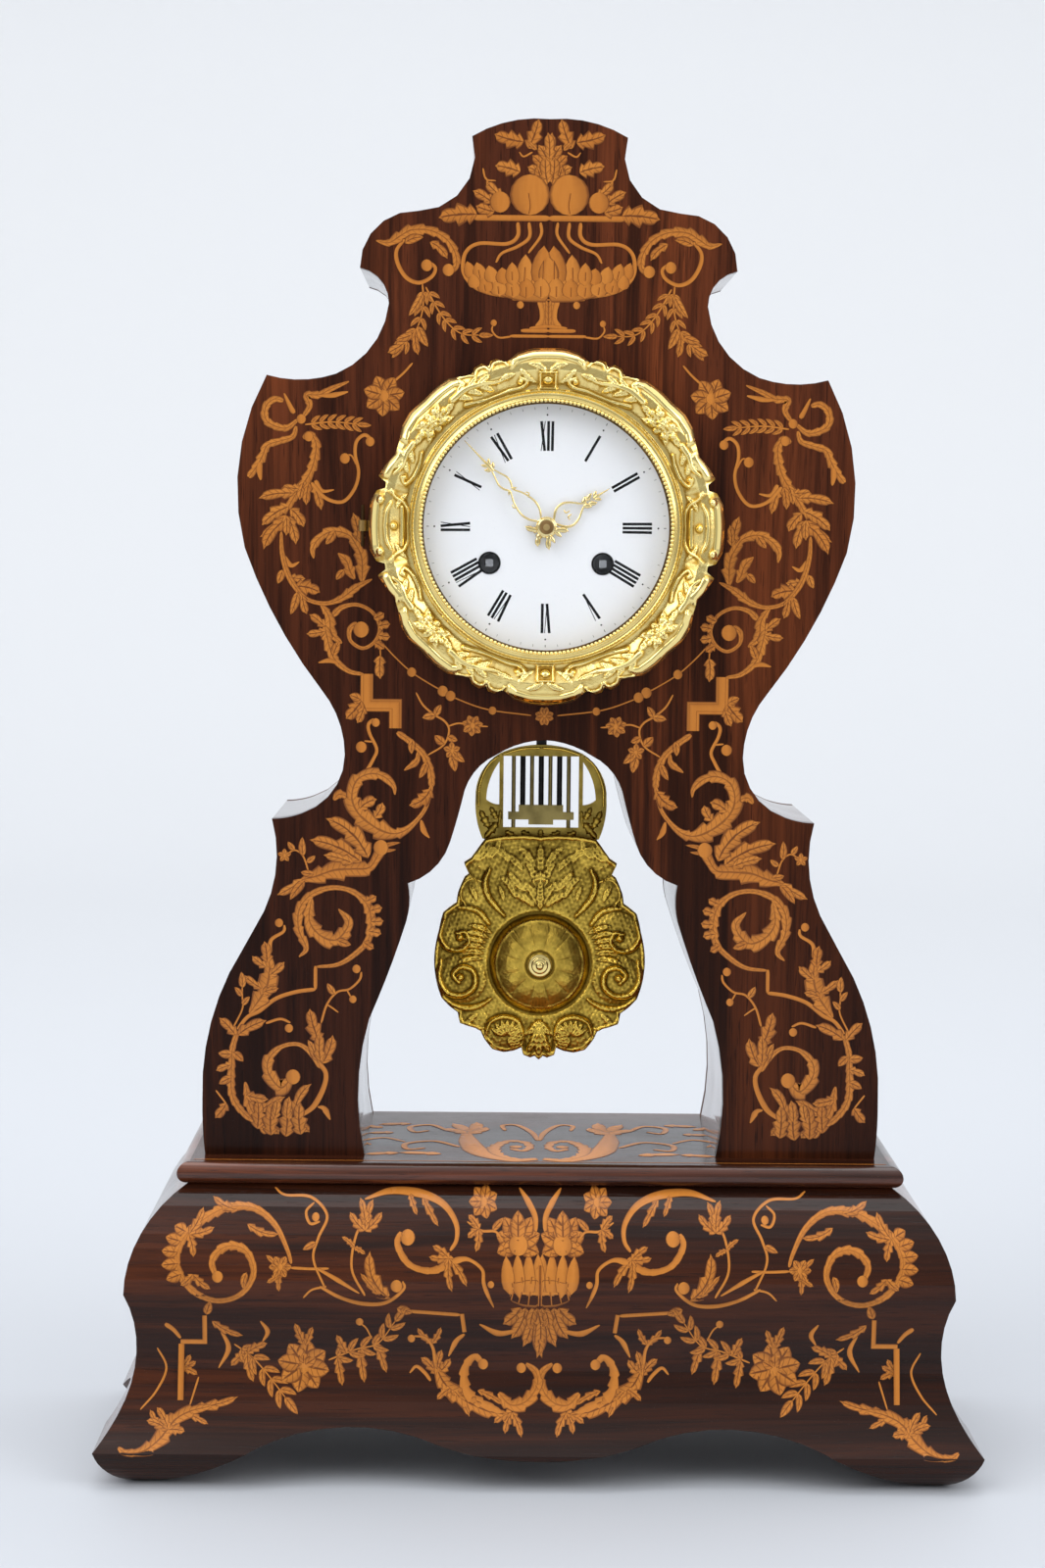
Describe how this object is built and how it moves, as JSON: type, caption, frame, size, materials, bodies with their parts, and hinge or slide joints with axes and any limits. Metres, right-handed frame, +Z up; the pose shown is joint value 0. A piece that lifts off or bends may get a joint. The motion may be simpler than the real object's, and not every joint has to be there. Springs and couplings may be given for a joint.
{
  "type": "portico clock",
  "caption": "Portico clock: a scroll-shaped inlaid wooden case on two legs over an ogee base, with a round dial in a cast bezel and a gridiron pendulum hanging in the arch.",
  "frame": {"origin": "middle of the bounding box at the height of the surface that the clock stands on", "axes": "+Z up, -Y the way the dial faces, +X to the right of someone who reads the dial"},
  "size_m": [0.4032, 0.175, 0.6213],
  "materials": {
    "rosewood_veneer": "french polished",
    "stained_softwood": "bare",
    "gilt_casting": "polished",
    "aged_gilt": "worn",
    "glass": "polished",
    "enamel": "glossy",
    "gilt_hands": "polished",
    "black_ferrule": "gloss",
    "clock_brass": "satin",
    "bell_metal": "turned",
    "steel": "satin"
  },
  "bodies": {
    "case": {"base_front_board": "rosewood_veneer", "base_left_board": "rosewood_veneer", "base_right_board": "rosewood_veneer", "base_back_board": "stained_softwood", "base_shelf": "rosewood_veneer", "shelf_mouldings": "rosewood_veneer", "glue_blocks": "stained_softwood", "case_screws": "steel", "case_front_panel": "rosewood_veneer", "case_back_panel": "stained_softwood", "case_left_wall": "rosewood_veneer", "case_right_wall": "rosewood_veneer", "case_crown_wall": "rosewood_veneer", "arch_leg_walls": "rosewood_veneer", "arch_top_wall": "rosewood_veneer", "dial_flange": "clock_brass", "hinge_pins": "steel", "dial": "enamel", "winding_ferrules": "black_ferrule", "rear_ring": "clock_brass", "case_straps": "clock_brass", "strap_screws": "steel", "front_plate": "clock_brass", "back_plate": "clock_brass", "movement_pillars": "clock_brass", "suspension_cock": "clock_brass", "bell_stand": "clock_brass", "bell": "bell_metal"},
    "bezel": {"bezel_casting": "gilt_casting", "sight_ring": "gilt_casting", "bezel_glass": "glass"},
    "rear_door": {"rear_door": "clock_brass"},
    "minute_hand": {"minute_hand": "gilt_hands", "hand_nut": "clock_brass", "cannon_pinion": "steel"},
    "minute_wheel": {"minute_wheel": "clock_brass"},
    "hour_hand": {"hour_hand": "gilt_hands", "hour_wheel": "clock_brass"},
    "pendulum": {"suspension_spring": "steel", "pendulum_hanger": "steel", "pendulum_frame": "aged_gilt", "pendulum_brass_rods": "clock_brass", "pendulum_steel_rods": "steel", "pendulum_crossbar": "clock_brass", "pendulum_bob": "aged_gilt", "bob_cap": "aged_gilt"},
    "pallet_anchor": {"pallet_anchor": "steel"},
    "escape_wheel": {"escape_wheel": "clock_brass"},
    "third_wheel": {"third_wheel": "clock_brass"},
    "centre_wheel": {"centre_wheel": "clock_brass"},
    "second_wheel": {"second_wheel": "clock_brass"},
    "going_barrel": {"going_barrel": "clock_brass"},
    "going_arbor": {"going_arbor": "steel"},
    "going_click": {"going_click": "steel"},
    "strike_barrel": {"strike_barrel": "clock_brass"},
    "strike_arbor": {"strike_arbor": "steel"},
    "strike_click": {"strike_click": "steel"},
    "pin_wheel": {"pin_wheel": "clock_brass"},
    "fly": {"fly": "clock_brass"},
    "hammer": {"hammer": "steel"}
  },
  "joints": [
    {"name": "bezel_open", "type": "hinge", "parent": "case", "child": "bezel", "pos_m": [-0.0841, -0.03595, 0.4355], "axis": [0, 0, -1], "range_deg": [0, 110]},
    {"name": "rear_door_open", "type": "hinge", "parent": "case", "child": "rear_door", "pos_m": [0.064, 0.08535, 0.4355], "axis": [0, 0, -1], "range_deg": [0, 120]},
    {"name": "minute_hand_turn", "type": "hinge", "parent": "case", "child": "minute_hand", "pos_m": [0, -0.03, 0.4355], "axis": [0, 1, 0], "continuous": true},
    {"name": "minute_wheel_turn", "type": "hinge", "parent": "case", "child": "minute_wheel", "pos_m": [0.008, -0.017, 0.44936], "axis": [0, 1, 0], "continuous": true},
    {"name": "hour_hand_turn", "type": "hinge", "parent": "case", "child": "hour_hand", "pos_m": [0, -0.028, 0.4355], "axis": [0, 1, 0], "continuous": true},
    {"name": "pendulum_swing", "type": "hinge", "parent": "case", "child": "pendulum", "pos_m": [0, 0.04455, 0.4715], "axis": [0, 1, 0], "range_deg": [-1.8, 1.8]},
    {"name": "pallet_rock", "type": "hinge", "parent": "case", "child": "pallet_anchor", "pos_m": [0, 0.02, 0.4715], "axis": [0, 1, 0], "range_deg": [-1.8, 1.8]},
    {"name": "third_wheel_turn", "type": "hinge", "parent": "case", "child": "third_wheel", "pos_m": [-0.01091, 0.01, 0.44872], "axis": [0, 1, 0], "continuous": true},
    {"name": "escape_wheel_turn", "type": "hinge", "parent": "case", "child": "escape_wheel", "pos_m": [0, 0.01, 0.4575], "axis": [0, 1, 0], "continuous": true},
    {"name": "centre_wheel_turn", "type": "hinge", "parent": "case", "child": "centre_wheel", "pos_m": [0, 0.01, 0.4355], "axis": [0, 1, 0], "continuous": true},
    {"name": "second_wheel_turn", "type": "hinge", "parent": "case", "child": "second_wheel", "pos_m": [0.01985, 0.01, 0.44021], "axis": [0, 1, 0], "continuous": true},
    {"name": "going_barrel_turn", "type": "hinge", "parent": "case", "child": "going_barrel", "pos_m": [0.026, 0.01, 0.419], "axis": [0, 1, 0], "continuous": true},
    {"name": "going_wind", "type": "hinge", "parent": "case", "child": "going_arbor", "pos_m": [0.026, 0, 0.419], "axis": [0, 1, 0], "range_deg": [0, 1800]},
    {"name": "going_click_lift", "type": "hinge", "parent": "case", "child": "going_click", "pos_m": [0.037, -0.0135, 0.421], "axis": [0, 1, 0], "range_deg": [0, 12], "stiffness_Nm_per_rad": 0.001},
    {"name": "pin_wheel_turn", "type": "hinge", "parent": "case", "child": "pin_wheel", "pos_m": [-0.03846, 0.01, 0.43723], "axis": [0, 1, 0], "continuous": true},
    {"name": "strike_barrel_turn", "type": "hinge", "parent": "case", "child": "strike_barrel", "pos_m": [-0.026, 0.01, 0.419], "axis": [0, 1, 0], "continuous": true},
    {"name": "fly_turn", "type": "hinge", "parent": "case", "child": "fly", "pos_m": [-0.03464, 0.01, 0.44701], "axis": [0, 1, 0], "continuous": true},
    {"name": "strike_wind", "type": "hinge", "parent": "case", "child": "strike_arbor", "pos_m": [-0.026, 0, 0.419], "axis": [0, 1, 0], "range_deg": [0, 1800]},
    {"name": "strike_click_lift", "type": "hinge", "parent": "case", "child": "strike_click", "pos_m": [-0.037, -0.0135, 0.421], "axis": [0, -1, 0], "range_deg": [0, 12], "stiffness_Nm_per_rad": 0.001},
    {"name": "hammer_lift", "type": "hinge", "parent": "case", "child": "hammer", "pos_m": [-0.024, 0.05, 0.4685], "axis": [0, 1, 0], "range_deg": [0, 12], "stiffness_Nm_per_rad": 0.01}
  ],
  "couplings": [
    {"joint": "minute_wheel_turn", "follows": "minute_hand_turn", "ratio": -0.33333},
    {"joint": "hour_hand_turn", "follows": "minute_hand_turn", "ratio": 0.083333},
    {"joint": "pallet_rock", "follows": "pendulum_swing", "ratio": 1},
    {"joint": "escape_wheel_turn", "follows": "third_wheel_turn", "ratio": -6},
    {"joint": "centre_wheel_turn", "follows": "third_wheel_turn", "ratio": -0.14286},
    {"joint": "second_wheel_turn", "follows": "third_wheel_turn", "ratio": 0.028571},
    {"joint": "going_barrel_turn", "follows": "third_wheel_turn", "ratio": -0.0042857},
    {"joint": "strike_barrel_turn", "follows": "pin_wheel_turn", "ratio": -0.15},
    {"joint": "fly_turn", "follows": "pin_wheel_turn", "ratio": -6}
  ]
}
